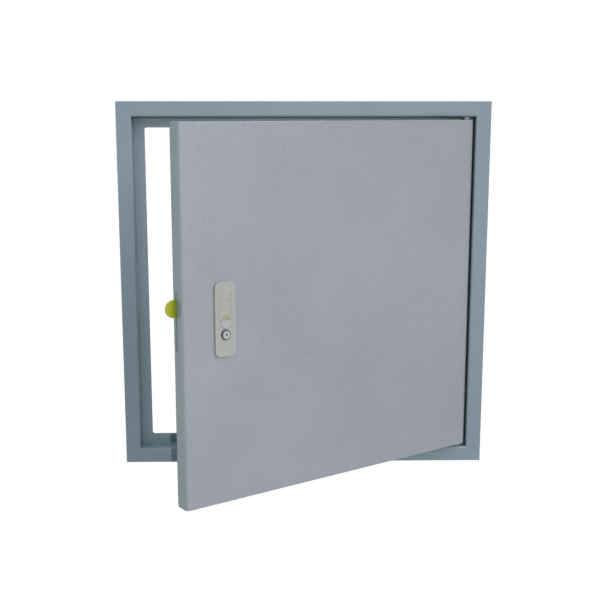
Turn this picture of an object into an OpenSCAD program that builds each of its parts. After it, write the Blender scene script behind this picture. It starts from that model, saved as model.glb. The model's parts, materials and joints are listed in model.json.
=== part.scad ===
// Wall inspection hatch: a square sheet metal frame with a flush, side hung door
// that a small flush handle and a swinging latch hold shut.
// X runs along the wall to the right, Y into the wall, Z up. The origin is the
// centre of the wall opening, on the wall's surface, where the frame's flange seats.

/* [Frame] */
// Overall width of the frame
frame_w = 490; // [400:1:700]
// Overall height of the frame
frame_h = 490; // [400:1:700]
// Width of the flange that shows round the door
flange_w = 20; // [18:0.5:30]
// Thickness of the frame's sheet
frame_sheet = 1.6; // [1:0.1:2]
// Depth from the flange's front to the front of the rear lip
reveal_depth = 24; // [24:0.5:40]
// How far the rear lip reaches into the opening
lip_w = 14; // [8:0.5:20]
// Radius of the lip's inner corners
lip_corner_r = 2.5; // [1:0.5:6]
// Inside radius of the frame's bends
bend_r = 0.8; // [0.4:0.1:1.5]
// Diameter of the fixing holes in the two side members
fixing_d = 5.5; // [4:0.1:6.5]
// Distance between the two fixing holes of a side member
fixing_pitch = 300; // [200:5:340]
// Leg length of the cleats behind the mitred corners
cleat_leg = 30; // [20:1:50]
// Depth of the corner cleats
cleat_depth = 14; // [8:1:18]

/* [Door] */
// Gap between the door and the frame
door_gap = 4; // [3:0.5:5]
// Thickness of the door from its face to its back
door_t = 20; // [19.5:0.5:21]
// Thickness of the door's sheet
door_sheet = 1.6; // [1:0.1:2]
// Width of the rim behind the door's edges
return_w = 14; // [8:0.5:18]
// Outside radius of the door's two vertical edges
edge_r = 4.5; // [2.5:0.5:6]
// Angle at which the door stands open
door_open = 34.5; // [0:0.5:90]
// Width of the seal strips
seal_w = 9; // [5:0.5:12]
// Space that is left between the seal and the lip when the door is shut
seal_gap = 0.3; // [0.2:0.1:0.6]
// Width of the stiffener's crown
stiffener_w = 30; // [20:1:60]
// Width of each of the stiffener's flanges
stiffener_flange = 10; // [6:1:16]
// Depth of the stiffener
stiffener_depth = 12; // [6:0.5:14]
// Thickness of the stiffener's sheet
stiffener_sheet = 1.2; // [0.8:0.1:1.6]

/* [Hinge] */
// Distance of the hinge axis from the door's edge
hinge_inset = 7; // [6.8:0.1:8]
// Distance of the hinge axis behind the door's face
hinge_depth = 8; // [7.5:0.1:9]
// Diameter of the pivot pins
pivot_d = 6; // [5:0.1:6]
// Diameter of the pivot pins' heads
pivot_head_d = 11; // [9:0.5:14]
// Height of the pivot pins' heads
pivot_head_t = 3; // [2:0.5:5]
// Outside diameter of the spacing washers in the door's gap
washer_d = 9; // [8:0.5:12]
// Outside diameter of the pivot bushes
bush_d = 10; // [8:0.1:10]
// Length of the pivot bushes
bush_l = 14; // [8:0.5:20]
// Width of the hinge blocks inside the door
block_w = 18; // [14:0.5:30]

/* [Handle] */
// Width of the handle's plate
plate_w = 27; // [26.5:0.5:32]
// Height of the handle's plate
plate_h = 87; // [87:0.5:110]
// Corner radius of the handle's plate
plate_r = 7; // [3:0.5:8]
// Thickness of the handle's plate
plate_t = 2; // [1.5:0.1:3]
// Thickness of the gasket under the plate
gasket_t = 0.6; // [0.4:0.1:1]
// Distance of the handle's middle from the door's free edge
handle_in = 54; // [45:0.5:60]
// Height of the handle's middle above the middle of the hatch
handle_z = -0.5; // [-40:0.5:40]
// How far the plate laps over its hole in the door on either side
plate_lap = 2.5; // [2:0.1:4]
// Depth of the handle's body behind the door's face
body_t = 10.6; // [10.4:0.1:10.8]
// Depth of the body's two ends, where the clamps bear
body_end_t = 7; // [5:0.5:8]
// Width of the pull lever
lever_w = 15; // [14.5:0.5:16.5]
// Thickness of the pull lever
lever_t = 3; // [2:0.1:3.5]
// Diameter of the lever's pin
lever_pin_d = 3; // [2:0.1:4]
// Diameter of the push button
button_d = 13.2; // [12:0.1:14]
// Travel of the push button
button_travel = 2.5; // [1.5:0.1:3]
// Diameter of the lock cylinder's head
cylinder_d = 12.6; // [12:0.1:13.2]
// Diameter of the lock plug
plug_d = 8.6; // [7:0.1:9]
// Angle through which the lever is pulled out
lever_swing = 40; // [30:1:45]

/* [Latch] */
// Height of the latch's pivot above the handle's middle
latch_up = 15.5; // [14:0.5:16.5]
// How far the latch stands out of the door's edge
latch_reach = 13.3; // [10:0.1:16]
// Radius of the latch's round end
latch_tip_r = 10.2; // [8:0.1:11.5]
// Radius of the latch round its pivot
latch_hub_r = 7.5; // [7:0.1:8]
// Thickness of the latch
latch_t = 3; // [2:0.1:3.2]
// Depth of the latch's front behind the door's face
latch_depth = 13.5; // [13.4:0.1:14.6]
// Diameter of the latch's pivot screw
latch_pin_d = 6; // [5:0.1:6]
// Length of the slot in the door's edge
slot_h = 69; // [66:0.5:80]
// Thickness of the draw bar
bar_t = 1.6; // [1.4:0.1:1.7]
// Width of the draw bar
bar_w = 20; // [16:0.5:24]

/* [Hidden] */
$fn = 96;
bite = 1;
running_fit = 0.05;
seam = 0.1;
side_fit = 0.3;
half_w = frame_w/2;
half_h = frame_h/2;
// Half sizes of the clear opening and of the door
open_x = half_w - flange_w;
open_z = half_h - flange_w;
door_x = open_x - door_gap;
door_z = open_z - door_gap;
face_y = -frame_sheet;
lip_y = face_y + reveal_depth;
hinge_x = door_x - hinge_inset;
hinge_y = face_y + hinge_depth;
fixing_y = face_y + reveal_depth/2;
door_back = door_t - door_sheet;
pocket_r = edge_r - door_sheet;
seal_t = reveal_depth - door_t - seal_gap;
seal_inset = 1.5;
// Heights below are measured from the handle's middle, depths from the door's face
handle_x = handle_in - door_x;
body_w = plate_w - 2*plate_lap;
plate_y = -plate_t - gasket_t;
// From the plate's end inwards: the body's end, the clamp, the lever's pocket and its pin
end_lap = 1.9;
clamp_h = 5;
clamp_fit = 0.4;
pocket_wall = 0.8;
pin_y = 3;
barrel_r = pin_y - plate_y + 1;
body_half = plate_h/2 - end_lap;
body_mid = body_half - clamp_h - clamp_fit;
pocket_top = body_mid - pocket_wall;
pin_up = pocket_top - barrel_r - side_fit;
body_step = 1;
floor_y = 7.5;
groove_w = lever_w - 1.4;
// A low rib across the lever, and a groove above and below it
rib_r = 0.7;
rib_drop = 6;
rib_up = pin_up - rib_drop;
rib_proud = 0.3;
groove_h = 0.9;
groove_t = 0.4;
button_up = -3.8;
button_proud = 1;
// The button is flat on top, and the lever ends just above that flat
button_flat = 2.8;
lever_low = button_up + button_flat + side_fit;
scoop_r = 5.5;
scoop_up = lever_low - 0.5;
cup_wall = 1.1;
cup_t = lever_t + button_proud + 1.1;
stem_d = 4;
stem_up = button_up - 1.9;
stem_end = body_t - 0.6;
button_floor = 8.4;
cylinder_up = -18;
cylinder_proud = 2.1;
// Below its head the cylinder is thinner, and the head's rim is turned down to leave a groove round it
cylinder_body = cylinder_d - 1.4;
head_t = 3;
rim_w = 0.7;
rim_depth = 1.4;
cylinder_end = body_t + 1;
clip_w = 1.5;
cam_t = 1.4;
cam_l = 9.5;
cam_w = 7;
key_w = 2.6;
key_h = 3.9;
key_depth = 6;
// The stud stands this far from the latch's pivot, half a right angle before level
stud_arm = 5;
stud_d = 3;
latch_swing = 90;
draw = 2*stud_arm*sin(latch_swing/2);
finger_r = 1.8;
finger_w = 5;
finger_t = 2.6;
finger_arm = draw/2/sin(lever_swing/2);
bar_y = body_t + 0.4;
bar_wall = 2.5;
stud_up = latch_up + draw/2;
finger_up = pin_up + draw/2;
latch_back = latch_depth + latch_t;
spring_space = 3.4;
screw_head_d = 10;
screw_head_t = 2.4;
tip_centre = handle_in + latch_reach - latch_tip_r;
clamp_t = 2;
clamp_w = 36;
clamp_screw_d = 3;
clamp_head_d = 4.6;
clamp_head_t = 1.6;
slot_margin = 0.5;
strike_margin = 3;
strike_t = 1.2;
strike_lap = 20;
strike_h = slot_h + 2*strike_lap;
rivet_inset = 7.5;
rivet_d = 4;
wire_d = 0.8;
steps = 8;

// Points of an arc from one angle to another
function arc(cx, cy, r, from, to) = [for (i = [0:steps]) let (a = from + (to - from)*i/steps) [cx + r*cos(a), cy + r*sin(a)]];

// Outline of the frame's folded section: across from the outer edge, and into the wall
function frame_section() = let (s = frame_sheet, f = flange_w, b = bend_r, r = bend_r + frame_sheet, l = lip_y)
    concat([[0, -s]], arc(f - r, -s + r, r, -90, 0), arc(f + b, l - b, b, 180, 90), [[f + lip_w, l], [f + lip_w, l + s]],
    arc(f - s + r, l + s - r, r, 90, 180), arc(f - s - b, b, b, 0, -90), [[0, 0]]);

// A square frame member on the -Z side, as long as the frame is wide, with mitred ends
module frame_member(length, height) {
    span = length/2;
    intersection() {
        translate([-span, 0, -height/2]) rotate([90, 0, 90]) linear_extrude(length)
            polygon([for (p = frame_section()) [p[1], p[0]]]);
        translate([0, -frame_sheet - bite, -height/2]) rotate([-90, 0, 0]) linear_extrude(lip_y + 4*bite)
            polygon([[-span, 0], [span, 0], [span - flange_w*2, -flange_w*2], [-span + flange_w*2, -flange_w*2]]);
    }
}

// The lip's inner corners are filled with a small radius
module lip_fillets(x, z) {
    for (side = [-1, 1]) translate([side*(x - lip_w), lip_y, z + lip_w]) rotate([-90, 0, 0])
        linear_extrude(frame_sheet) mirror([side > 0 ? 1 : 0, 0]) difference() {
            translate([0, -lip_corner_r]) square(lip_corner_r);
            translate([lip_corner_r, -lip_corner_r]) circle(lip_corner_r);
        }
}

module frame_bottom() {
    color("slategray") difference() {
        union() {
            frame_member(frame_w, frame_h);
            lip_fillets(open_x, -open_z);
        }
        translate([hinge_x, hinge_y, -open_z - frame_sheet - bite])
            cylinder(d = pivot_d + 2*running_fit, h = frame_sheet + 2*bite);
    }
}

module frame_top() {
    mirror([0, 0, 1]) frame_bottom();
}

// A side member stands at -X
module jamb() {
    difference() {
        rotate([0, 90, 0]) frame_member(frame_h, frame_w);
        for (z = [-fixing_pitch/2, fixing_pitch/2]) translate([-open_x - frame_sheet - bite, fixing_y, z])
            rotate([0, 90, 0]) cylinder(d = fixing_d, h = frame_sheet + 2*bite);
    }
}

// Width and height of the slot that the latch passes through, and its depth behind the face
strike_w = latch_t + 2*strike_margin;
strike_slot_h = slot_h + 6;
strike_y = face_y + latch_depth + latch_t/2;

module lock_jamb() {
    color("slategray") difference() {
        jamb();
        translate([-open_x - frame_sheet/2, strike_y, handle_z])
            cube([frame_sheet + 2*bite, strike_w, strike_slot_h], center = true);
    }
}

module hinge_jamb() {
    color("slategray") mirror([1, 0, 0]) jamb();
}

module corner_cleats() {
    x = open_x + frame_sheet;
    z = open_z + frame_sheet;
    color("darkgray") for (sx = [0, 1], sz = [0, 1]) mirror([sx, 0, 0]) mirror([0, 0, sz])
        translate([0, fixing_y - cleat_depth/2, 0]) difference() {
            translate([x - cleat_leg, 0, z - cleat_leg])
                cube([cleat_leg + frame_sheet, cleat_depth, cleat_leg + frame_sheet]);
            translate([x - cleat_leg - bite, -bite, z - cleat_leg - bite])
                cube([cleat_leg + bite, cleat_depth + 2*bite, cleat_leg + bite]);
            // Clear of the pivot pin's head
            translate([hinge_x, hinge_y - fixing_y + cleat_depth/2, z - bite])
                cylinder(d = pivot_head_d + 2*bite, h = frame_sheet + 2*bite);
        }
}

module strike_plate() {
    color("silver") translate([-open_x - frame_sheet - strike_t/2, strike_y, handle_z]) difference() {
        cube([strike_t, strike_w + 6, strike_h], center = true);
        cube([strike_t + bite, strike_w, strike_slot_h], center = true);
        for (z = [-1, 1]) translate([0, 0, z*(strike_h/2 - rivet_inset)]) rotate([0, 90, 0])
            cylinder(d = rivet_d + 2*running_fit, h = strike_t + bite, center = true);
    }
}

// Rivets through the strike plate, their heads behind it
module strike_rivets() {
    color("silver") for (z = [-1, 1])
        translate([-open_x - frame_sheet, strike_y, handle_z + z*(strike_h/2 - rivet_inset)]) rotate([0, -90, 0]) {
            cylinder(d = rivet_d, h = strike_t + bite);
            translate([0, 0, strike_t]) cylinder(d1 = rivet_d*1.8, d2 = rivet_d, h = 1.4);
        }
}

// A pin that hangs down through the top member into the door's bush
module pivot_pin() {
    translate([hinge_x, hinge_y, 0]) {
        translate([0, 0, open_z + frame_sheet]) cylinder(d = pivot_head_d, h = pivot_head_t, $fn = 6);
        translate([0, 0, door_z - bush_l + 2]) cylinder(d = pivot_d, h = door_gap + frame_sheet + bush_l - 2 + bite);
        translate([0, 0, door_z - bush_l + 1]) cylinder(d1 = pivot_d - 2, d2 = pivot_d, h = 1);
    }
}

module upper_pivot_pin() {
    color("silver") pivot_pin();
}

module lower_pivot_pin() {
    color("silver") mirror([0, 0, 1]) pivot_pin();
}

// Washers that fill the gap above and below the door, seated on the frame
module spacing_washers() {
    washer_t = door_gap - side_fit;
    color("whitesmoke") for (s = [0, 1]) mirror([0, 0, s]) translate([hinge_x, hinge_y, open_z - washer_t])
        difference() {
            cylinder(d = washer_d, h = washer_t);
            translate([0, 0, -bite]) cylinder(d = pivot_d + 2*running_fit, h = washer_t + 2*bite);
        }
}

// The door's pieces are drawn shut and then swung open about the hinge
module on_door() {
    translate([hinge_x, hinge_y, 0]) rotate([0, 0, door_open]) translate([-hinge_x, -hinge_y, 0]) children();
}

module on_handle() {
    on_door() translate([handle_x, face_y, handle_z]) children();
}

// Plan of the door: a rectangle whose two front corners are round
module door_plan(x, y0, y1, r) {
    translate([-x, y0 + r]) square([2*x, y1 - y0 - r]);
    translate([-x + r, y0]) square([2*(x - r), r + bite/2]);
    for (s = [-1, 1]) translate([s*(x - r), y0 + r]) circle(r);
}

// A rectangle with round corners, standing upright in X and Z, its front at y
module upright(w, h, r, y, t) {
    translate([0, y + t, 0]) rotate([90, 0, 0]) linear_extrude(t) {
        square([w - 2*r, h], center = true);
        square([w, h - 2*r], center = true);
        for (x = [-1, 1], z = [-1, 1]) translate([x*(w/2 - r), z*(h/2 - r)]) circle(r);
    }
}

module door_pan() {
    inner = door_x - door_sheet;
    inner_h = 2*(door_z - door_sheet);
    color("lightsteelblue") on_door() difference() {
        translate([0, 0, -door_z]) linear_extrude(2*door_z) door_plan(door_x, face_y, face_y + door_t, edge_r);
        translate([0, 0, -inner_h/2]) linear_extrude(inner_h)
            door_plan(inner, face_y + door_sheet, face_y + door_t + bite, pocket_r);
        translate([handle_x, face_y, handle_z])
            upright(body_w + side_fit, 2*body_half + side_fit, 4, -bite, door_sheet + 2*bite);
        translate([-door_x - bite, face_y + latch_depth - slot_margin, handle_z - slot_h/2])
            cube([door_sheet + 2*bite, latch_t + 2*slot_margin, slot_h]);
        translate([hinge_x, hinge_y, -door_z - bite])
            cylinder(d = bush_d + 2*running_fit, h = 2*door_z + 2*bite);
    }
}

// Four flat strips welded inside the pan's rim, which carry the seal
module back_frame() {
    x = door_x - door_sheet;
    z = door_z - door_sheet;
    w = return_w - door_sheet;
    color("lightsteelblue") on_door() translate([0, face_y + door_back, 0]) {
        for (s = [0, 1]) mirror([0, 0, s]) translate([-x, 0, z - w]) cube([2*x, door_sheet, w]);
        for (s = [0, 1]) mirror([s, 0, 0]) translate([x - w, 0, -z + w + seam])
            cube([w, door_sheet, 2*(z - w - seam)]);
    }
}

module door_stiffener() {
    s = stiffener_sheet;
    half = stiffener_w/2;
    wide = half + stiffener_flange;
    d = stiffener_depth;
    inner_h = 2*(door_z - door_sheet);
    color("darkgray") on_door() translate([0, face_y + door_sheet, -inner_h/2]) linear_extrude(inner_h)
        polygon([[-wide, 0], [-half, 0], [-half + s, d - s], [half - s, d - s], [half, 0], [wide, 0], [wide, s],
            [half + s, s], [half, d], [-half, d], [-half - s, s], [-wide, s]]);
}

// A block in the door's upper corner that holds the pivot bush
module hinge_block() {
    inner = door_x - door_sheet;
    on_door() difference() {
        translate([0, 0, door_z - door_sheet - bush_l + 1]) linear_extrude(bush_l - 1) intersection() {
            door_plan(inner, face_y + door_sheet, face_y + door_back, pocket_r);
            translate([inner - block_w, face_y]) square([block_w, door_t]);
        }
        translate([hinge_x, hinge_y, 0]) cylinder(d = bush_d + 2*running_fit, h = door_z);
    }
}

module upper_hinge_block() {
    color("darkgray") hinge_block();
}

module lower_hinge_block() {
    color("darkgray") mirror([0, 0, 1]) hinge_block();
}

module pivot_bushes() {
    color("peru") on_door() for (s = [0, 1]) mirror([0, 0, s]) translate([hinge_x, hinge_y, door_z - bush_l])
        difference() {
            cylinder(d = bush_d, h = bush_l);
            translate([0, 0, -bite]) cylinder(d = pivot_d + 2*running_fit, h = bush_l + 2*bite);
        }
}

// Four strips stuck on the back of the door, which close against the lip. None of them
// reaches past the hinge axis, so they don't drag over the lip as the door turns.
module door_seal() {
    x = door_x - seal_inset;
    z = door_z - seal_inset;
    color("dimgray") on_door() translate([0, face_y + door_t, 0]) {
        for (s = [0, 1]) mirror([0, 0, s]) translate([-x, 0, z - seal_w]) cube([x + hinge_x, seal_t, seal_w]);
        translate([-x, 0, -z + seal_w + seam]) cube([seal_w, seal_t, 2*(z - seal_w - seam)]);
        translate([door_x - return_w, 0, -z + seal_w + seam])
            cube([return_w - hinge_inset, seal_t, 2*(z - seal_w - seam)]);
    }
}

// A cylinder along Y, at a height above the handle's middle, between two depths
module deep(up, d, from, to) {
    translate([0, from, up]) rotate([-90, 0, 0]) cylinder(d = d, h = to - from);
}

module handle_base() {
    pocket = lever_w + 2*side_fit;
    color("lightgray") on_handle() difference() {
        union() {
            upright(plate_w, plate_h, plate_r, plate_y, plate_t);
            upright(body_w, 2*body_half, 4, plate_y + plate_t/2, body_end_t - plate_y - plate_t/2);
            upright(body_w - body_step, 2*body_mid, 2, -gasket_t/2, body_t + gasket_t/2);
        }
        translate([-pocket/2, plate_y - bite, lever_low - side_fit])
            cube([pocket, floor_y - plate_y + bite, pin_up - lever_low + side_fit]);
        translate([0, pin_y, pin_up]) rotate([0, 90, 0]) cylinder(r = barrel_r + side_fit, h = pocket, center = true);
        translate([-finger_w/2 - side_fit, floor_y - bite, pin_up - draw/2 - finger_r - 2*side_fit])
            cube([finger_w + 2*side_fit, body_t, draw + 2*finger_r + 3*side_fit]);
        translate([0, pin_y, pin_up]) rotate([0, 90, 0])
            cylinder(d = lever_pin_d + 2*running_fit, h = body_w + bite, center = true);
        deep(button_up, button_d + 2*running_fit, plate_y - bite, button_floor);
        deep(stem_up, stem_d + 2*running_fit, 0, body_t + bite);
        deep(cylinder_up, cylinder_d + 2*running_fit, plate_y - bite, plate_y + head_t);
        deep(cylinder_up, cylinder_body + 2*running_fit, plate_y, body_t + bite);
        deep(latch_up, latch_pin_d + 2*running_fit, 0, body_t + bite);
        for (s = [-1, 1]) deep(s*(body_half - clamp_h/2), clamp_screw_d + 2*running_fit, 2, body_t);
    }
}

module handle_gasket() {
    color("dimgray") on_handle() difference() {
        upright(plate_w - 1, plate_h - 1, plate_r - 0.5, -gasket_t, gasket_t);
        upright(body_w + side_fit, 2*body_half + side_fit, 4, -gasket_t - bite, gasket_t + 2*bite);
    }
}

// Bars across the body's two ends, whose legs press on the back of the door's sheet
module clamp_bars() {
    color("silver") on_handle() for (s = [0, 1]) mirror([0, 0, s]) translate([0, 0, body_half - clamp_h])
        difference() {
            translate([-clamp_w/2, door_sheet, 0]) cube([clamp_w, body_end_t + clamp_t - door_sheet, clamp_h]);
            translate([-clamp_w/2 + clamp_t, door_sheet - bite, -bite])
                cube([clamp_w - 2*clamp_t, body_end_t - door_sheet + bite, clamp_h + 2*bite]);
            deep(clamp_h/2, clamp_screw_d + 2*running_fit, 0, body_t);
        }
}

module clamp_screws() {
    color("silver") on_handle() for (s = [-1, 1]) {
        deep(s*(body_half - clamp_h/2), clamp_screw_d, 2.5, body_end_t + clamp_t + bite/2);
        deep(s*(body_half - clamp_h/2), clamp_head_d, body_end_t + clamp_t, body_end_t + clamp_t + clamp_head_t);
    }
}

// A lever that tips out at its lower end, with a finger behind it that pushes the draw bar down
module pull_lever() {
    notch_w = 4;
    color("gainsboro") on_handle() difference() {
        union() {
            intersection() {
                translate([0, pin_y, pin_up]) rotate([0, 90, 0]) cylinder(r = barrel_r, h = lever_w, center = true);
                translate([-lever_w/2 - bite, plate_y, pin_up - 2*barrel_r])
                    cube([lever_w + 2*bite, 3*barrel_r, 4*barrel_r]);
            }
            translate([-lever_w/2, plate_y, lever_low]) cube([lever_w, lever_t, pin_up - lever_low]);
            translate([0, plate_y + rib_r - rib_proud, rib_up]) rotate([0, 90, 0])
                cylinder(r = rib_r, h = groove_w, center = true);
            translate([0, pin_y, pin_up]) rotate([lever_swing/2, 0, 0]) {
                translate([-finger_w/2, 0, -finger_t/2]) cube([finger_w, finger_arm, finger_t]);
                translate([0, finger_arm, 0]) rotate([0, 90, 0]) cylinder(r = finger_r, h = finger_w, center = true);
            }
        }
        translate([0, pin_y, pin_up]) rotate([0, 90, 0])
            cylinder(d = lever_pin_d + 2*running_fit, h = lever_w + bite, center = true);
        // Room for the spring on one side of the finger
        translate([finger_w/2 - 0.2, pin_y, pin_up]) rotate([0, 90, 0]) cylinder(r = barrel_r - 2.6, h = notch_w);
        // A crescent scoop for the finger tip at the free end, deepest at its round wall
        translate([0, plate_y + 0.5, lever_low]) rotate([-8, 0, 0]) translate([0, 0, scoop_up - lever_low])
            rotate([90, 0, 0]) cylinder(r = scoop_r, h = 3);
        // The grooves on either side of the rib
        for (z = [rib_up + rib_r, rib_up - rib_r - groove_h]) translate([-groove_w/2, plate_y - bite, z])
            cube([groove_w, bite + groove_t, groove_h]);
    }
}

module lever_pin() {
    color("silver") on_handle() translate([0, pin_y, pin_up]) rotate([0, 90, 0])
        cylinder(d = lever_pin_d, h = body_w, center = true);
}

// A wire wound round Z, as rings of points joined into one closed tube
module coil(r, wire, pitch, turns) {
    sides = 8;
    per_turn = 20;
    rings = turns*per_turn;
    points = [for (i = [0:rings], k = [0:sides - 1]) let (a = 360*i/per_turn, b = 360*k/sides, q = r + wire/2*cos(b))
        [q*cos(a), q*sin(a), pitch*i/per_turn + wire/2*sin(b)]];
    walls = [for (i = [0:rings - 1], k = [0:sides - 1]) let (n = (k + 1)%sides)
        [i*sides + k, i*sides + n, (i + 1)*sides + n, (i + 1)*sides + k]];
    ends = [[for (k = [sides - 1:-1:0]) k], [for (k = [0:sides - 1]) rings*sides + k]];
    polyhedron(points, concat(walls, ends), convexity = 10);
}

module lever_spring() {
    r = lever_pin_d/2 + wire_d/2 + 0.1;
    color("silver") on_handle() translate([finger_w/2 + wire_d/2 + 0.1, pin_y, pin_up]) rotate([0, 90, 0])
        coil(r, wire_d, wire_d + 0.1, 3);
}

// A round push button, hollow behind for its spring and flat on top where the lever ends
module release_button() {
    front = plate_y - button_proud;
    inner = button_d - 2*cup_wall;
    color("gainsboro") on_handle() {
        difference() {
            deep(button_up, button_d, front, button_floor - button_travel - side_fit);
            deep(button_up, inner, front + cup_t, button_floor);
            translate([-button_d/2, front - bite, button_up + button_flat])
                cube([button_d, button_floor - front + bite, button_d]);
        }
        deep(stem_up, stem_d, front + cup_t - 0.5, stem_end);
    }
}

module button_spring() {
    r = stem_d/2 + wire_d/2 + 0.3;
    space = button_floor - button_travel - (plate_y - button_proud + cup_t) - wire_d - side_fit;
    turns = 3;
    color("silver") on_handle() translate([0, button_floor - wire_d/2, stem_up]) rotate([90, 0, 0])
        coil(r, wire_d, space/turns, turns);
}

module lock_cylinder() {
    front = plate_y - cylinder_proud;
    color("silver") on_handle() difference() {
        union() {
            deep(cylinder_up, cylinder_d - 2*rim_w, front, plate_y + head_t);
            deep(cylinder_up, cylinder_d, plate_y + rim_depth, plate_y + head_t);
            deep(cylinder_up, cylinder_body, plate_y + rim_depth, cylinder_end);
        }
        deep(cylinder_up, plug_d + 2*running_fit, front - bite, cylinder_end + bite);
    }
}

// An open ring behind the handle's body that keeps the cylinder in
module cylinder_clip() {
    color("silver") on_handle() difference() {
        deep(cylinder_up, cylinder_body + 2*clip_w, body_t, cylinder_end);
        deep(cylinder_up, cylinder_body + 2*running_fit, body_t - bite, cylinder_end + bite);
        translate([-2, body_t - bite, cylinder_up - cylinder_d]) cube([4, 3, cylinder_d]);
    }
}

module lock_plug() {
    front = plate_y - cylinder_proud;
    color("silver") on_handle() difference() {
        deep(cylinder_up, plug_d, front, cylinder_end + 0.2);
        translate([-key_w/2, front - bite, cylinder_up - key_h/2]) cube([key_w, key_depth + bite, key_h]);
    }
}

module lock_cam() {
    from = cylinder_end + 0.2;
    color("silver") on_handle() {
        deep(cylinder_up, cam_w, from, from + cam_t);
        translate([-cam_l, from, cylinder_up - cam_w/2]) cube([cam_l, cam_t, cam_w]);
    }
}

// A flat bar between the body and the latch: the lever's finger pushes it, and it carries the latch's stud
module draw_bar() {
    low = stud_up - stud_d/2 - side_fit - bar_wall - draw - 2;
    high = finger_up + finger_r + side_fit + bar_wall;
    slot = latch_pin_d + 2*side_fit;
    color("goldenrod") on_handle() difference() {
        translate([-bar_w/2, bar_y, low]) cube([bar_w, bar_t, high - low]);
        translate([-finger_w/2 - side_fit, bar_y - bite, finger_up - finger_r - side_fit])
            cube([finger_w + 2*side_fit, bar_t + 2*bite, 2*(finger_r + side_fit)]);
        translate([-slot/2, bar_y - bite, latch_up]) cube([slot, bar_t + 2*bite, draw]);
        deep(latch_up, slot, bar_y - bite, bar_y + bar_t + bite);
        deep(latch_up + draw, slot, bar_y - bite, bar_y + bar_t + bite);
        translate([-stud_arm - stud_d/2 - side_fit, bar_y - bite, stud_up - stud_d/2 - side_fit])
            cube([stud_arm, bar_t + 2*bite, stud_d + 2*side_fit]);
    }
}

module latch_arm() {
    color("olive") on_handle() translate([0, 0, latch_up]) {
        difference() {
            translate([0, latch_back, 0]) rotate([90, 0, 0]) linear_extrude(latch_t) {
                circle(latch_hub_r);
                translate([-tip_centre, 0]) circle(latch_tip_r);
                polygon([[0, latch_hub_r], [-tip_centre, latch_tip_r], [-tip_centre, -latch_tip_r], [0, -latch_hub_r]]);
            }
            deep(0, latch_pin_d + 2*running_fit, 0, latch_back + bite);
        }
        rotate([0, latch_swing/2, 0]) translate([-stud_arm, 0, 0]) deep(0, stud_d, bar_y + 0.2, latch_depth + 1);
    }
}

// The screw that the latch swings on, from behind into the handle's body
module latch_screw() {
    color("silver") on_handle() {
        deep(latch_up, latch_pin_d, floor_y + 0.3, latch_back + spring_space + bite);
        deep(latch_up, screw_head_d, latch_back + spring_space, latch_back + spring_space + screw_head_t);
    }
}

module latch_spring() {
    r = latch_pin_d/2 + wire_d/2 + 0.3;
    turns = 3;
    pitch = (spring_space - wire_d - side_fit)/turns;
    color("silver") on_handle() translate([0, latch_back + spring_space - wire_d/2, latch_up]) rotate([90, 0, 0])
        coil(r, wire_d, pitch, turns);
}

frame_top();
frame_bottom();
lock_jamb();
hinge_jamb();
corner_cleats();
strike_plate();
strike_rivets();
upper_pivot_pin();
lower_pivot_pin();
spacing_washers();
door_pan();
back_frame();
door_stiffener();
upper_hinge_block();
lower_hinge_block();
pivot_bushes();
door_seal();
handle_base();
handle_gasket();
clamp_bars();
clamp_screws();
pull_lever();
lever_pin();
lever_spring();
release_button();
button_spring();
lock_cylinder();
cylinder_clip();
lock_plug();
lock_cam();
draw_bar();
latch_arm();
latch_screw();
latch_spring();
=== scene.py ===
import bpy
import json
import math
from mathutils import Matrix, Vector


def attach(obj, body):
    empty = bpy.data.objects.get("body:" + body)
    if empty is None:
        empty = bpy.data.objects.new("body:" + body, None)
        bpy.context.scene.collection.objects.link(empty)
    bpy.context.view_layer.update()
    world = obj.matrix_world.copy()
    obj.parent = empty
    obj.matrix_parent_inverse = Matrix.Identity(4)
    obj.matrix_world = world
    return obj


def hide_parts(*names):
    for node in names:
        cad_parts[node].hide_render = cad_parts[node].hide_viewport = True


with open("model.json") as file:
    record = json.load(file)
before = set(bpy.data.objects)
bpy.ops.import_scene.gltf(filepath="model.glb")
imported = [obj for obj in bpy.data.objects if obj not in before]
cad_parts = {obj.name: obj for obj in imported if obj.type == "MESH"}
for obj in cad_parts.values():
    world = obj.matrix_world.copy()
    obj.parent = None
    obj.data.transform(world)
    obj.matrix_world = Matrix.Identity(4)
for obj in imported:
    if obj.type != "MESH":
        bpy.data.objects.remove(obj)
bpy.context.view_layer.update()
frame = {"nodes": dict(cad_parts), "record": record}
print("frame loaded:", len(frame["nodes"]), "nodes")


# shared helpers for the shader trees
def newMaterial(name, metallic=0.0):
    material = bpy.data.materials.new(name)
    material.use_nodes = True
    tree = material.node_tree
    shader = tree.nodes["Principled BSDF"]
    shader.inputs["Metallic"].default_value = metallic
    return material, tree, shader


def addNode(tree, kind, values=None, **settings):
    node = tree.nodes.new(kind)
    for key, value in settings.items():
        setattr(node, key, value)
    for key, value in (values or {}).items():
        node.inputs[key].default_value = value
    return node


# a source is either a socket to link or a number to set
def addMath(tree, operation, *sources):
    node = addNode(tree, "ShaderNodeMath", operation=operation)
    for socket, source in zip(node.inputs, sources):
        if isinstance(source, float):
            socket.default_value = source
        else:
            tree.links.new(source, socket)
    return node.outputs["Value"]


def addRange(tree, source, span, onto=(0.0, 1.0)):
    node = addNode(tree, "ShaderNodeMapRange", {"From Min": span[0], "From Max": span[1],
                                                "To Min": onto[0], "To Max": onto[1]})
    tree.links.new(source, node.inputs["Value"])
    return node.outputs["Result"]


def addNoise(tree, vector, look):
    node = addNode(tree, "ShaderNodeTexNoise", look)
    tree.links.new(vector, node.inputs["Vector"])
    return node.outputs["Fac"]


def addMix(tree, factor, first, second):
    node = addNode(tree, "ShaderNodeMix", data_type="RGBA")
    for key, source in (("Factor", factor), ("A", first), ("B", second)):
        tree.links.new(source, node.inputs[key])
    return node.outputs["Result"]


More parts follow.
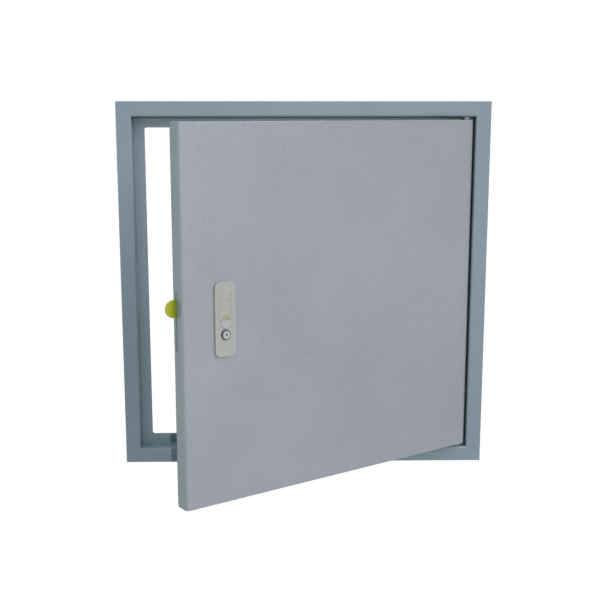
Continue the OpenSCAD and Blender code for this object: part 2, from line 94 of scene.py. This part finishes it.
def addScale(tree, color, factor):
    node = addNode(tree, "ShaderNodeVectorMath", operation="SCALE")
    tree.links.new(color, node.inputs[0])
    tree.links.new(factor, node.inputs["Scale"])
    return node.outputs["Vector"]


def addRamp(tree, source, stops):
    node = addNode(tree, "ShaderNodeValToRGB")
    elements = node.color_ramp.elements
    while len(elements) < len(stops):
        elements.new(0.5)
    for element, (place, color) in zip(elements, stops):
        element.position = place
        element.color = color
    tree.links.new(source, node.inputs["Fac"])
    return node.outputs["Color"]


def objectPlace(tree):
    return addNode(tree, "ShaderNodeTexCoord").outputs["Object"]


# every coat gives a colour, a roughness and a height
def newCoat(name, inputs):
    group = bpy.data.node_groups.new(name, "ShaderNodeTree")
    for socket, kind in inputs.items():
        group.interface.new_socket(name=socket, in_out="INPUT", socket_type="NodeSocket" + kind)
    for socket, kind in (("Color", "Color"), ("Roughness", "Float"), ("Height", "Float")):
        group.interface.new_socket(name=socket, in_out="OUTPUT", socket_type="NodeSocket" + kind)
    return group, addNode(group, "NodeGroupInput").outputs, addNode(group, "NodeGroupOutput").inputs


# powder coat: cloudy tint with a fine speckle, orange peel, rub marks on the edges, and dust with painted
# shade in the corners
powderCoatLook = {
    "clouds": {"Scale": 7.0, "Detail": 5.0, "Roughness": 0.6},
    "cloudSpan": (0.3, 0.7), "cloudShade": (0.94, 1.05),
    "specks": {"Scale": 600.0, "Detail": 1.0}, "speckSpan": (0.3, 0.7),
    "peel": {"Scale": 900.0, "Detail": 2.0, "Roughness": 0.5},
    "edgeWidth": 0.0012, "edgeSpan": (0.995, 0.85),
    "chips": {"Scale": 260.0, "Detail": 4.0}, "chipSpan": (0.4, 0.6),
    "dustShadeReach": 0.02, "dustShadeSpan": (0.85, 0.35), "dustShadeTint": (0.60, 0.70, 0.62), "dustRoughness": 0.3,
    "glossSpan": (0.35, 0.65), "glossSpread": (-0.05, 0.06), "samples": 6,
}


def buildPowderCoat(look):
    group, enter, leave = newCoat("powderCoat", {"Tint": "Color", "Edge Tint": "Color", "Edge Wear": "Float",
                                                 "Dust And Shade": "Float", "Speckle": "Float", "Gloss": "Float"})
    link = group.links.new
    place = objectPlace(group)
    clouds = addNoise(group, place, look["clouds"])
    shade = addRange(group, clouds, look["cloudSpan"], look["cloudShade"])
    specks = addRange(group, addNoise(group, place, look["specks"]), look["speckSpan"], (-1.0, 1.0))
    speckle = addMath(group, "MULTIPLY", specks, enter["Speckle"])
    tinted = addScale(group, enter["Tint"], addMath(group, "MULTIPLY_ADD", speckle, shade, shade))
    # edges: where the rounded normal leaves the flat one
    bevel = addNode(group, "ShaderNodeBevel", {"Radius": look["edgeWidth"]}, samples=look["samples"])
    flat = addNode(group, "ShaderNodeNewGeometry")
    dot = addNode(group, "ShaderNodeVectorMath", operation="DOT_PRODUCT")
    link(bevel.outputs["Normal"], dot.inputs[0])
    link(flat.outputs["Normal"], dot.inputs[1])
    edges = addRange(group, dot.outputs["Value"], look["edgeSpan"])
    chips = addRange(group, addNoise(group, place, look["chips"]), look["chipSpan"])
    worn = addMath(group, "MULTIPLY", addMath(group, "MULTIPLY", edges, chips), enter["Edge Wear"])
    edged = addMix(group, worn, tinted, enter["Edge Tint"])
    # dust and painted shade: the corners that the ambient occlusion finds turn darker and greener
    hollow = addNode(group, "ShaderNodeAmbientOcclusion", {"Distance": look["dustShadeReach"]},
                     samples=look["samples"])
    corners = addRange(group, hollow.outputs["AO"], look["dustShadeSpan"])
    dustShade = addMath(group, "MULTIPLY", corners, enter["Dust And Shade"])
    dark = addNode(group, "ShaderNodeVectorMath", operation="MULTIPLY")
    dark.inputs[1].default_value = look["dustShadeTint"]
    link(edged, dark.inputs[0])
    link(addMix(group, dustShade, edged, dark.outputs["Vector"]), leave["Color"])
    # roughness: the gloss value, broken up by the clouds and duller where dusty
    spread = addRange(group, clouds, look["glossSpan"], look["glossSpread"])
    gloss = addMath(group, "ADD", spread, enter["Gloss"])
    link(addMath(group, "MULTIPLY_ADD", dustShade, look["dustRoughness"], gloss), leave["Roughness"])
    link(addNoise(group, place, look["peel"]), leave["Height"])
    return group


# bare or plated metal: rolling lines, and blotches of the plating
platedLook = {
    "lines": {"Scale": 14.0, "Detail": 4.0, "Roughness": 0.7}, "lineStretch": (60.0, 60.0, 1.0),
    "lineSpan": (0.3, 0.7), "lineShade": (0.92, 1.06),
    "blotches": {"Scale": 55.0, "Randomness": 1.0}, "blotchSpan": (0.12, 0.42),
    "mottle": {"Scale": 93.5, "Detail": 5.0, "Distortion": 0.6},
    "glossSpan": (0.3, 0.7), "glossSpread": (-0.07, 0.08),
}


def buildPlatedMetal(look):
    group, enter, leave = newCoat("platedMetal", {"Tint": "Color", "Blotch Tint": "Color", "Blotches": "Float",
                                                  "Gloss": "Float"})
    link = group.links.new
    place = objectPlace(group)
    stretch = addNode(group, "ShaderNodeMapping", {"Scale": look["lineStretch"]})
    link(place, stretch.inputs["Vector"])
    lines = addNoise(group, stretch.outputs["Vector"], look["lines"])
    cells = addNode(group, "ShaderNodeTexVoronoi", look["blotches"])
    link(place, cells.inputs["Vector"])
    mottle = addNoise(group, place, look["mottle"])
    spots = addMath(group, "MULTIPLY", cells.outputs["Distance"], mottle)
    blotched = addMath(group, "MULTIPLY", addRange(group, spots, look["blotchSpan"]), enter["Blotches"])
    mixed = addMix(group, blotched, enter["Tint"], enter["Blotch Tint"])
    lined = addScale(group, mixed, addRange(group, lines, look["lineSpan"], look["lineShade"]))
    link(lined, leave["Color"])
    spread = addRange(group, mottle, look["glossSpan"], look["glossSpread"])
    link(addMath(group, "ADD", spread, enter["Gloss"]), leave["Roughness"])
    link(lines, leave["Height"])
    return group


powderCoat = buildPowderCoat(powderCoatLook)
platedMetal = buildPlatedMetal(platedLook)
print("node groups built")

# how strongly paint and metal reflect, and how deep their bumps are in metres
specularOf = {"powderCoat": 0.35, "platedMetal": 0.5}
bumpDepth = 0.0004


def addBump(tree, shader, height, strength):
    bump = addNode(tree, "ShaderNodeBump", {"Strength": strength, "Distance": bumpDepth})
    tree.links.new(height, bump.inputs["Height"])
    tree.links.new(bump.outputs["Normal"], shader.inputs["Normal"])


# the finishes: colours are written in linear light
finishes = {
    # the frame's high dust value darkens its lips, reveals and gaps: dust with painted shade
    "framePaint": {"group": powderCoat, "metallic": 0.0, "bump": 0.05, "Tint": (0.246, 0.318, 0.357, 1),
                   "Edge Tint": (0.42, 0.46, 0.48, 1), "Edge Wear": 0.5, "Dust And Shade": 0.75, "Gloss": 0.46,
                   "Speckle": 0.08},
    # painted light: the door's coat is written lighter and pinker than the frame's, though both are one coat,
    # for the warm light from the right
    "doorPaintLit": {"group": powderCoat, "metallic": 0.0, "bump": 0.05, "Tint": (0.343, 0.380, 0.398, 1),
                  "Edge Tint": (0.56, 0.58, 0.66, 1), "Edge Wear": 0.6, "Dust And Shade": 0.35, "Gloss": 0.44,
                  "Speckle": 0.085},
    "handlePaint": {"group": powderCoat, "metallic": 0.0, "bump": 0.04, "Tint": (0.42, 0.445, 0.40, 1),
                    "Edge Tint": (0.56, 0.58, 0.54, 1), "Edge Wear": 0.5, "Dust And Shade": 0.6, "Gloss": 0.36,
                    "Speckle": 0.03},
    "buttonPaint": {"group": powderCoat, "metallic": 0.0, "bump": 0.04, "Tint": (0.47, 0.485, 0.47, 1),
                    "Edge Tint": (0.6, 0.62, 0.6, 1), "Edge Wear": 0.4, "Dust And Shade": 0.5, "Gloss": 0.34,
                    "Speckle": 0.025},
    # painted shade: a darker olive laid on the floor of the lever's finger scoop
    "scoopShadeOlive": {"group": powderCoat, "metallic": 0.0, "bump": 0.03, "Tint": (0.37, 0.41, 0.26, 1),
                   "Edge Tint": (0.45, 0.47, 0.3, 1), "Edge Wear": 0.4, "Dust And Shade": 0.4, "Gloss": 0.4,
                   "Speckle": 0.025},
    # painted shade: a near-black laid on the lock head's face inside its groove
    "lockGrooveShade": {"group": powderCoat, "metallic": 0.0, "bump": 0.03, "Tint": (0.12, 0.135, 0.128, 1),
                 "Edge Tint": (0.2, 0.22, 0.21, 1), "Edge Wear": 0.5, "Dust And Shade": 0.4, "Gloss": 0.4,
                 "Speckle": 0.03},
    "yellowZinc": {"group": platedMetal, "metallic": 0.5, "bump": 0.05, "Tint": (0.36, 0.335, 0.028, 1),
                   "Blotch Tint": (0.33, 0.34, 0.02, 1), "Blotches": 0.4, "Gloss": 0.42},
    "galvanised": {"group": platedMetal, "metallic": 0.7, "bump": 0.06, "Tint": (0.50, 0.52, 0.53, 1),
                   "Blotch Tint": (0.38, 0.41, 0.43, 1), "Blotches": 0.8, "Gloss": 0.42},
    "brightZinc": {"group": platedMetal, "metallic": 0.85, "bump": 0.04, "Tint": (0.60, 0.61, 0.62, 1),
                   "Blotch Tint": (0.50, 0.53, 0.57, 1), "Blotches": 0.4, "Gloss": 0.32},
    "springWire": {"group": platedMetal, "metallic": 0.9, "bump": 0.03, "Tint": (0.42, 0.42, 0.43, 1),
                   "Blotch Tint": (0.30, 0.29, 0.28, 1), "Blotches": 0.4, "Gloss": 0.3},
    "satinChrome": {"group": platedMetal, "metallic": 0.55, "bump": 0.02, "Tint": (0.53, 0.565, 0.55, 1),
                    "Blotch Tint": (0.48, 0.50, 0.49, 1), "Blotches": 0.3, "Gloss": 0.36},
    "bronze": {"group": platedMetal, "metallic": 0.8, "bump": 0.08, "Tint": (0.46, 0.32, 0.15, 1),
               "Blotch Tint": (0.33, 0.22, 0.11, 1), "Blotches": 0.5, "Gloss": 0.42},
}


def coated(name, look):
    material, tree, shader = newMaterial(name, look["metallic"])
    coat = addNode(tree, "ShaderNodeGroup", node_tree=look["group"])
    for key, value in look.items():
        if key in coat.inputs:
            coat.inputs[key].default_value = value
    shader.inputs["Specular IOR Level"].default_value = specularOf[look["group"].name]
    tree.links.new(coat.outputs["Color"], shader.inputs["Base Color"])
    tree.links.new(coat.outputs["Roughness"], shader.inputs["Roughness"])
    addBump(tree, shader, coat.outputs["Height"], look["bump"])
    return material


finishOf = {name: coated(name, look) for name, look in finishes.items()}

# the latch's yellow coat plays from warm at its tip to a darker green at the door's edge, and back behind it;
# the darker green is painted shade where the latch comes out of the door's slot. It runs along the wall,
# between two places in metres, with the latch level and the door as they are posed in this scene
latchShadeFade = {"from": -0.1586, "to": -0.12, "stops": [(0.03, (0.44, 0.39, 0.018, 1)),
                                                     (0.26, (0.23, 0.34, 0.015, 1)),
                                                     (0.6, (0.36, 0.335, 0.028, 1))]}


def fadeLatchShade(fade):
    material = finishOf["yellowZinc"].copy()
    material.name = "latchZincWithShade"
    tree = material.node_tree
    split = addNode(tree, "ShaderNodeSeparateXYZ")
    tree.links.new(objectPlace(tree), split.inputs["Vector"])
    along = addRange(tree, split.outputs["X"], (fade["from"], fade["to"]))
    coat = next(node for node in tree.nodes if node.type == "GROUP")
    tree.links.new(addRamp(tree, along, fade["stops"]), coat.inputs["Tint"])
    return material


finishOf["latchZincWithShade"] = fadeLatchShade(latchShadeFade)

# the soft materials: one grain runs through colour, roughness and bump
grainy = {
    "rubber": {"low": (0.018, 0.019, 0.02, 1), "high": (0.045, 0.046, 0.048, 1), "scale": 420.0,
               "roughness": 0.75, "bump": 0.3},
    "nylon": {"low": (0.25, 0.30, 0.275, 1), "high": (0.33, 0.385, 0.355, 1), "scale": 240.0,
              "roughness": 0.5, "bump": 0.08},
}
grainLook = {"detail": 6.0, "roughness": 0.65, "shadeSpan": (0.35, 0.68), "glossSpan": (0.3, 0.7),
             "spread": 0.1}


def grained(name, look):
    material, tree, shader = newMaterial(name)
    grain = addNoise(tree, objectPlace(tree), {"Scale": look["scale"], "Detail": grainLook["detail"],
                                               "Roughness": grainLook["roughness"]})
    color = addRamp(tree, grain, list(zip(grainLook["shadeSpan"], (look["low"], look["high"]))))
    tree.links.new(color, shader.inputs["Base Color"])
    spread = (look["roughness"] - grainLook["spread"], look["roughness"] + grainLook["spread"])
    tree.links.new(addRange(tree, grain, grainLook["glossSpan"], spread), shader.inputs["Roughness"])
    addBump(tree, shader, grain, look["bump"])
    return material


for name, look in grainy.items():
    finishOf[name] = grained(name, look)
print("finishes made:", len(finishOf))

nodeFinish = {
    "framePaint": ["frame_top", "frame_bottom", "lock_jamb", "hinge_jamb"],
    "doorPaintLit": ["door_pan", "back_frame"],
    "handlePaint": ["handle_base", "pull_lever"],
    "buttonPaint": ["release_button"],
    "latchZincWithShade": ["latch_arm"],
    "yellowZinc": ["draw_bar"],
    "galvanised": ["corner_cleats", "strike_plate", "strike_rivets", "door_stiffener", "upper_hinge_block",
                   "lower_hinge_block"],
    "brightZinc": ["upper_pivot_pin", "lower_pivot_pin", "clamp_bars", "clamp_screws", "lever_pin", "lock_cam",
                   "latch_screw"],
    "springWire": ["lever_spring", "button_spring", "latch_spring", "cylinder_clip"],
    "satinChrome": ["lock_cylinder", "lock_plug"],
    "bronze": ["pivot_bushes"],
    "rubber": ["door_seal", "handle_gasket"],
    "nylon": ["spacing_washers"],
}
for name, nodes in nodeFinish.items():
    for node in nodes:
        piece = frame["nodes"][node]
        piece.data.materials.clear()
        piece.data.materials.append(finishOf[name])

# the folded and cast pieces get their real edge radii, in millimetres: a copy of the node is merged,
# its triangles are dissolved to whole faces, and its sharp edges are bevelled
softEdges = {
    "frame_top": 0.35, "frame_bottom": 0.35, "lock_jamb": 0.35, "hinge_jamb": 0.35,
    "door_pan": 1.1, "back_frame": 0.3, "door_stiffener": 0.3, "handle_base": 0.4, "pull_lever": 0.2,
    "release_button": 0.3, "latch_arm": 0.35, "draw_bar": 0.2, "strike_plate": 0.2, "corner_cleats": 0.25,
    "clamp_bars": 0.3, "lock_cylinder": 0.25, "lock_cam": 0.2, "spacing_washers": 0.3,
    "upper_pivot_pin": 0.3, "lower_pivot_pin": 0.3, "latch_screw": 0.4, "clamp_screws": 0.25,
    "upper_hinge_block": 0.3, "lower_hinge_block": 0.3, "lock_plug": 0.15, "door_seal": 0.8,
}
# angles are in degrees, the distance for merging is in metres
softening = {"merge": 0.000002, "flat": 0.6, "sharp": 35, "smooth": 32, "segments": 3, "weight": 80}
bodyOf = {node: body for body, nodes in frame["record"]["behaviour"]["bodies"].items() for node in nodes}


def makeActive(piece):
    bpy.ops.object.select_all(action="DESELECT")
    piece.select_set(True)
    bpy.context.view_layer.objects.active = piece


def applyModifier(modifier):
    bpy.ops.object.modifier_apply(modifier=modifier.name)


def soften(node, width):
    piece = bpy.data.objects.new(node + "_soft", frame["nodes"][node].data.copy())
    bpy.context.collection.objects.link(piece)
    makeActive(piece)
    bpy.ops.object.mode_set(mode="EDIT")
    bpy.ops.mesh.select_all(action="SELECT")
    bpy.ops.mesh.remove_doubles(threshold=softening["merge"])
    bpy.ops.mesh.dissolve_limited(angle_limit=math.radians(softening["flat"]))
    bpy.ops.object.mode_set(mode="OBJECT")
    bevel = piece.modifiers.new("edges", "BEVEL")
    bevel.width = width/1000
    bevel.segments = softening["segments"]
    bevel.limit_method = "ANGLE"
    bevel.angle_limit = math.radians(softening["sharp"])
    bevel.use_clamp_overlap = True
    bevel.miter_outer = "MITER_ARC"
    applyModifier(bevel)
    bpy.ops.object.shade_smooth_by_angle(angle=math.radians(softening["smooth"]))
    normals = piece.modifiers.new("flatFaces", "WEIGHTED_NORMAL")
    normals.weight = softening["weight"]
    normals.keep_sharp = True
    applyModifier(normals)
    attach(piece, bodyOf[node])
    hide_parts(node)
    return piece


soft = {node: soften(node, width) for node, width in softEdges.items()}
print("edges softened on", len(soft), "pieces")

# where the hinge, the door's face and the handle's middle are, in metres, and how far the door is open
doorPose = {"hinge": (0.214, 0.0064), "open": math.radians(34.5), "face": -0.0016,
            "handle": (-0.167, -0.0005)}
# painted shade on the handle, in the lever's scoop and the lock's groove, in millimetres: height above its
# middle, radius, and the depths between which the paint lies, measured from the door's face inwards
scoop = {"height": -1.2, "radius": 5.75, "depth": (-2.35, -0.9)}
ring = {"height": -18, "radius": 6.55, "depth": (-5.0, -2.0)}


def onHandle(point):
    across = point.x - doorPose["hinge"][0]
    inward = point.y - doorPose["hinge"][1]
    turn = doorPose["open"]
    x = across*math.cos(turn) + inward*math.sin(turn) + doorPose["hinge"][0] - doorPose["handle"][0]
    y = inward*math.cos(turn) - across*math.sin(turn) + doorPose["hinge"][1] - doorPose["face"]
    return 1000*x, 1000*y, 1000*(point.z - doorPose["handle"][1])


def paintPatch(node, name, patch):
    piece = soft[node]
    piece.data.materials.append(finishOf[name])
    front, back = patch["depth"]
    count = 0
    for face in piece.data.polygons:
        x, depth, up = onHandle(face.center)
        if math.hypot(x, up - patch["height"]) < patch["radius"] and front < depth < back:
            face.material_index = 1
            count += 1
    print(name, "faces painted:", count)


# painted shade: darker olive on the floor of the lever's finger scoop
paintPatch("pull_lever", "scoopShadeOlive", scoop)
# painted shade: near-black on the lock head's face inside its groove
paintPatch("lock_cylinder", "lockGrooveShade", ring)

view = {"place": (-0.0306, -1.3829, 0.232), "pitch": 10.99, "yaw": 1.0, "lens": 62.7, "sensor": 36.0,
        "shift": 0.0245, "reach": 30.0}


def placeCamera():
    data = bpy.data.cameras.new("camera")
    data.lens = view["lens"]
    data.sensor_width = view["sensor"]
    data.shift_y = view["shift"]
    data.clip_end = view["reach"]
    camera = bpy.data.objects.new("camera", data)
    bpy.context.collection.objects.link(camera)
    camera.location = view["place"]
    camera.rotation_euler = (math.radians(90 - view["pitch"]), 0, math.radians(-view["yaw"]))
    bpy.context.scene.camera = camera


placeCamera()

# the small lamp beside the camera throws the door's sharp shadow on the frame, the wide lamps light the
# faces that turn to the sides and up, and the lamp behind lights the back
lamps = {
    "flashLamp": {"kind": "POINT", "place": (0.12, -2.16, 0.406), "aim": (0, 0, 0), "size": 0.014, "power": 68,
                  "color": (0.97, 0.91, 0.96)},
    "sideLamp": {"kind": "AREA", "place": (5.0, -4.2, 4.8), "aim": (0, -0.1, 0), "size": 6.4, "power": 404,
                 "color": (1.0, 0.867, 0.916)},
    "fillLamp": {"kind": "AREA", "place": (-3.3, -0.15, -0.5), "aim": (0, -0.1, 0), "size": 1.8, "power": 23,
                 "color": (0.74, 1.0, 1.0)},
    "backLamp": {"kind": "AREA", "place": (-1.6, 4.4, 1.6), "aim": (0, 0, 0), "size": 3.6, "power": 95,
                 "color": (0.9, 0.97, 1.0)},
    "topLamp": {"kind": "AREA", "place": (0.0, -0.75, 4.0), "aim": (0, 0, 0), "size": 1.4, "power": 44,
                "color": (0.65, 0.81, 1.0)},
}


def placeLamps():
    for name, lamp in lamps.items():
        data = bpy.data.lights.new(name, lamp["kind"])
        if lamp["kind"] == "POINT":
            data.shadow_soft_size = lamp["size"]
        else:
            data.size = lamp["size"]
        data.energy = lamp["power"]
        data.color = lamp["color"]
        light = bpy.data.objects.new(name, data)
        bpy.context.collection.objects.link(light)
        light.location = lamp["place"]
        way = Vector(lamp["aim"]) - Vector(lamp["place"])
        light.rotation_euler = way.to_track_quat("-Z", "Y").to_euler()


placeLamps()


# 1 for a ray that comes straight from the camera, or over a reflection or through glass
def seenDirectly(tree):
    path = addNode(tree, "ShaderNodeLightPath").outputs
    either = addMath(tree, "MAXIMUM", path["Is Camera Ray"], path["Is Glossy Ray"])
    return addMath(tree, "MAXIMUM", either, path["Is Transmission Ray"])


# the room: a dim, cool light on the object, and plain white where it is seen
roomLight = {"color": (0.68, 0.97, 1.0, 1.0), "strength": 0.13}
white = (1, 1, 1, 1)


def buildWorld():
    world = bpy.data.worlds.new("room")
    bpy.context.scene.world = world
    world.use_nodes = True
    tree = world.node_tree
    ambient = tree.nodes["Background"]
    ambient.inputs["Color"].default_value = roomLight["color"]
    ambient.inputs["Strength"].default_value = roomLight["strength"]
    seen = addNode(tree, "ShaderNodeBackground", {"Color": white, "Strength": 1.0})
    mix = addNode(tree, "ShaderNodeMixShader")
    tree.links.new(seenDirectly(tree), mix.inputs["Fac"])
    tree.links.new(ambient.outputs["Background"], mix.inputs[1])
    tree.links.new(seen.outputs["Background"], mix.inputs[2])
    tree.links.new(mix.outputs["Shader"], tree.nodes["World Output"].inputs["Surface"])


buildWorld()

# the floor lies well below the hatch, glows white where it is seen and keeps the object's soft shadow
floorLook = {"height": -1.0, "size": 40.0, "tint": (0.24, 0.31, 0.30, 1), "roughness": 0.9, "glow": 0.9,
             "strength": 1.12}


def buildFloor():
    bpy.ops.mesh.primitive_plane_add(size=floorLook["size"], location=(0, 0, floorLook["height"]))
    floor = bpy.context.active_object
    floor.name = "floor"
    material, tree, shader = newMaterial("floorWhite")
    shader.inputs["Base Color"].default_value = floorLook["tint"]
    shader.inputs["Roughness"].default_value = floorLook["roughness"]
    glow = addNode(tree, "ShaderNodeEmission", {"Color": white, "Strength": floorLook["strength"]})
    mix = addNode(tree, "ShaderNodeMixShader")
    tree.links.new(addMath(tree, "MULTIPLY", seenDirectly(tree), floorLook["glow"]), mix.inputs["Fac"])
    tree.links.new(shader.outputs["BSDF"], mix.inputs[1])
    tree.links.new(glow.outputs["Emission"], mix.inputs[2])
    tree.links.new(mix.outputs["Shader"], tree.nodes["Material Output"].inputs["Surface"])
    floor.data.materials.append(material)


buildFloor()
print("camera, lamps and floor placed")

bpy.context.scene.view_settings.view_transform = "Standard"
